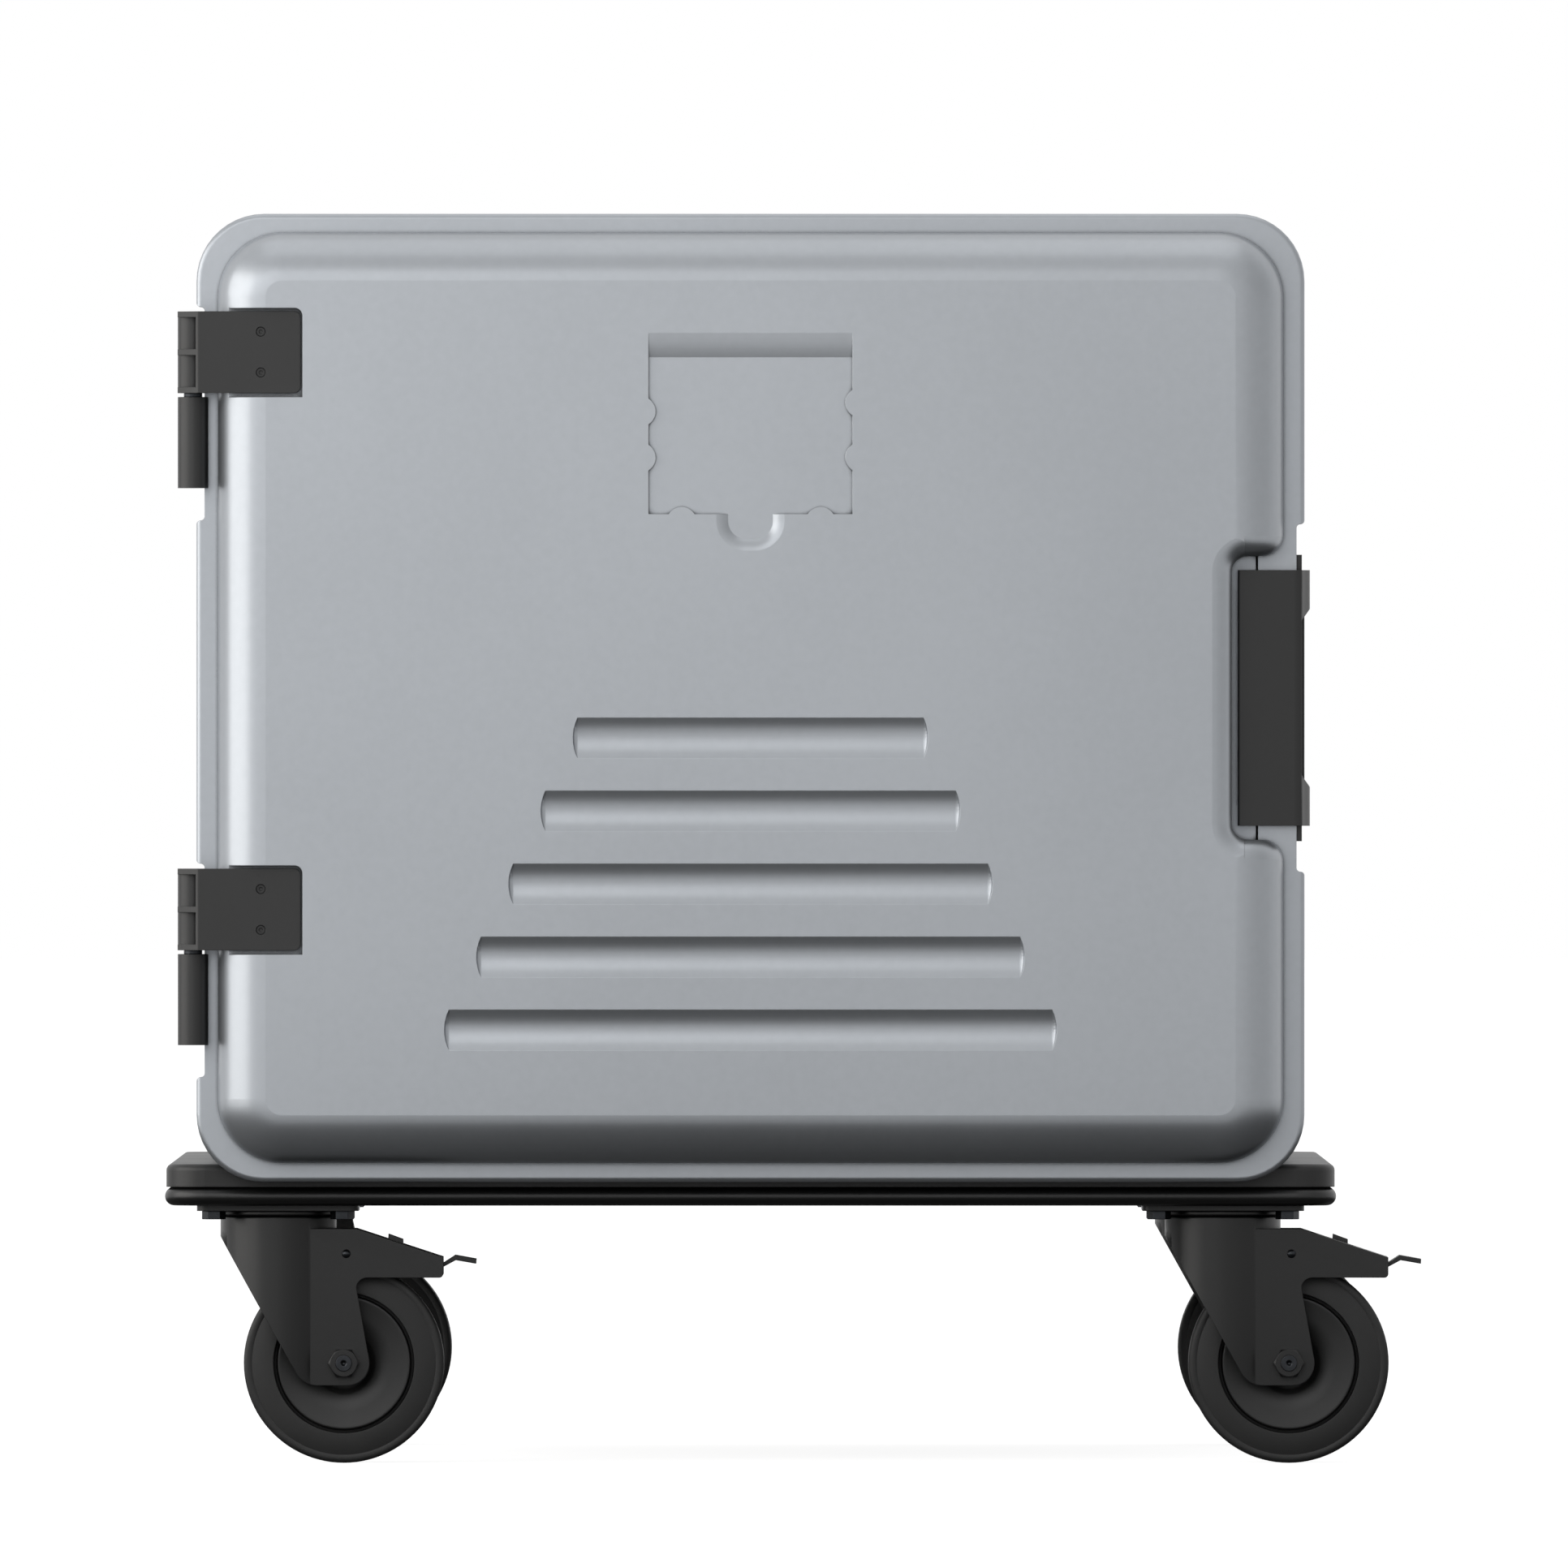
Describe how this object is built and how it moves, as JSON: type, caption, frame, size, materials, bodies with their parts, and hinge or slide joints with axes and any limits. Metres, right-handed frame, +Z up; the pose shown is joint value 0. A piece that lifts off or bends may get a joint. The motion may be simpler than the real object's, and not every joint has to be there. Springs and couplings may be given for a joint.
{
  "type": "enclosed meal tray cart",
  "caption": "Insulated front-loading meal tray box with a side-hinged latched door, standing in a low dolly on swivel casters, the front ones with brake pedals.",
  "frame": {"origin": "on the floor below the middle of the whole object's box, door shut and casters trailing to the right", "axes": "+X to the right seen from the front, +Y from the door to the back wall, +Z up"},
  "size_m": [0.784, 0.9042, 0.779],
  "materials": {
    "body_plastic": "moulded polyethylene, satin, light grey",
    "liner_plastic": "moulded polyethylene, satin, pale grey",
    "insulation": "rigid foam",
    "seal_rubber": "soft rubber",
    "hinge_plastic": "moulded nylon, satin black",
    "latch_plastic": "moulded nylon, satin black",
    "dolly_plastic": "moulded polyethylene, satin black",
    "bumper_rubber": "rubber band",
    "core_plastic": "moulded nylon",
    "tyre_rubber": "solid rubber",
    "dark_steel": "black coated pressed steel",
    "bright_steel": "dark plated steel"
  },
  "bodies": {
    "cart": {"outer_shell": "body_plastic", "inner_liner": "liner_plastic", "wall_foam": "insulation", "hinge_bracket_upper": "hinge_plastic", "hinge_bracket_lower": "hinge_plastic", "hinge_pin_upper": "bright_steel", "hinge_pin_lower": "bright_steel", "bracket_screws": "bright_steel", "latch_keeper": "latch_plastic", "keeper_screws": "bright_steel", "dolly_deck": "dolly_plastic", "dolly_bumper": "bumper_rubber", "caster_bolts": "bright_steel", "kingpins": "dark_steel", "caster_plate_front_left": "dark_steel", "caster_plate_front_right": "dark_steel", "caster_plate_rear_left": "dark_steel", "caster_plate_rear_right": "dark_steel", "ball_race_front_left": "dark_steel", "ball_race_front_right": "dark_steel", "ball_race_rear_left": "dark_steel", "ball_race_rear_right": "dark_steel"},
    "door": {"door_shell": "body_plastic", "door_liner": "liner_plastic", "door_foam": "insulation", "door_seal": "seal_rubber", "hinge_leaf_upper": "hinge_plastic", "hinge_leaf_lower": "hinge_plastic", "leaf_screws": "dark_steel", "latch_mount": "dark_steel", "latch_pin": "bright_steel", "latch_mount_screws": "bright_steel"},
    "latch": {"latch_handle": "latch_plastic"},
    "caster_front_left": {"fork_front_left": "dark_steel", "axle_bolt_front_left": "bright_steel", "axle_nut_front_left": "dark_steel", "brake_pin_front_left": "bright_steel"},
    "wheel_front_left": {"wheel_core_front_left": "core_plastic", "tyre_front_left": "tyre_rubber"},
    "caster_front_right": {"fork_front_right": "dark_steel", "axle_bolt_front_right": "bright_steel", "axle_nut_front_right": "dark_steel", "brake_pin_front_right": "bright_steel"},
    "wheel_front_right": {"wheel_core_front_right": "core_plastic", "tyre_front_right": "tyre_rubber"},
    "caster_rear_left": {"fork_rear_left": "dark_steel", "axle_bolt_rear_left": "bright_steel", "axle_nut_rear_left": "dark_steel"},
    "wheel_rear_left": {"wheel_core_rear_left": "core_plastic", "tyre_rear_left": "tyre_rubber"},
    "caster_rear_right": {"fork_rear_right": "dark_steel", "axle_bolt_rear_right": "bright_steel", "axle_nut_rear_right": "dark_steel"},
    "wheel_rear_right": {"wheel_core_rear_right": "core_plastic", "tyre_rear_right": "tyre_rubber"},
    "pedal_front_left": {"brake_pedal_front_left": "dark_steel"},
    "pedal_front_right": {"brake_pedal_front_right": "dark_steel"}
  },
  "joints": [
    {"name": "door_swing", "type": "hinge", "parent": "cart", "child": "door", "pos_m": [-0.3737, -0.42315, 0.4775], "axis": [0, 0, -1], "range_deg": [0, 160]},
    {"name": "latch_swing", "type": "hinge", "parent": "door", "child": "latch", "pos_m": [0.2813, -0.41515, 0.4775], "axis": [0, 0, -1], "range_deg": [0, 90]},
    {"name": "swivel_front_left", "type": "hinge", "parent": "cart", "child": "caster_front_left", "pos_m": [-0.3216, -0.32215, 0.154], "axis": [0, 0, 1], "continuous": true},
    {"name": "wheel_spin_front_left", "type": "hinge", "parent": "caster_front_left", "child": "wheel_front_left", "pos_m": [-0.2806, -0.32215, 0.0625], "axis": [0, 1, 0], "continuous": true},
    {"name": "swivel_front_right", "type": "hinge", "parent": "cart", "child": "caster_front_right", "pos_m": [0.2682, -0.32215, 0.154], "axis": [0, 0, 1], "continuous": true},
    {"name": "wheel_spin_front_right", "type": "hinge", "parent": "caster_front_right", "child": "wheel_front_right", "pos_m": [0.3092, -0.32215, 0.0625], "axis": [0, 1, 0], "continuous": true},
    {"name": "swivel_rear_left", "type": "hinge", "parent": "cart", "child": "caster_rear_left", "pos_m": [-0.3216, 0.38925, 0.154], "axis": [0, 0, 1], "continuous": true},
    {"name": "wheel_spin_rear_left", "type": "hinge", "parent": "caster_rear_left", "child": "wheel_rear_left", "pos_m": [-0.2806, 0.38925, 0.0625], "axis": [0, 1, 0], "continuous": true},
    {"name": "swivel_rear_right", "type": "hinge", "parent": "cart", "child": "caster_rear_right", "pos_m": [0.2682, 0.38925, 0.154], "axis": [0, 0, 1], "continuous": true},
    {"name": "wheel_spin_rear_right", "type": "hinge", "parent": "caster_rear_right", "child": "wheel_rear_right", "pos_m": [0.3092, 0.38925, 0.0625], "axis": [0, 1, 0], "continuous": true},
    {"name": "brake_front_left", "type": "hinge", "parent": "caster_front_left", "child": "pedal_front_left", "pos_m": [-0.279, -0.32215, 0.1307], "axis": [0, 1, 0], "range_deg": [0, 7]},
    {"name": "brake_front_right", "type": "hinge", "parent": "caster_front_right", "child": "pedal_front_right", "pos_m": [0.3108, -0.32215, 0.1307], "axis": [0, 1, 0], "range_deg": [0, 7]}
  ]
}
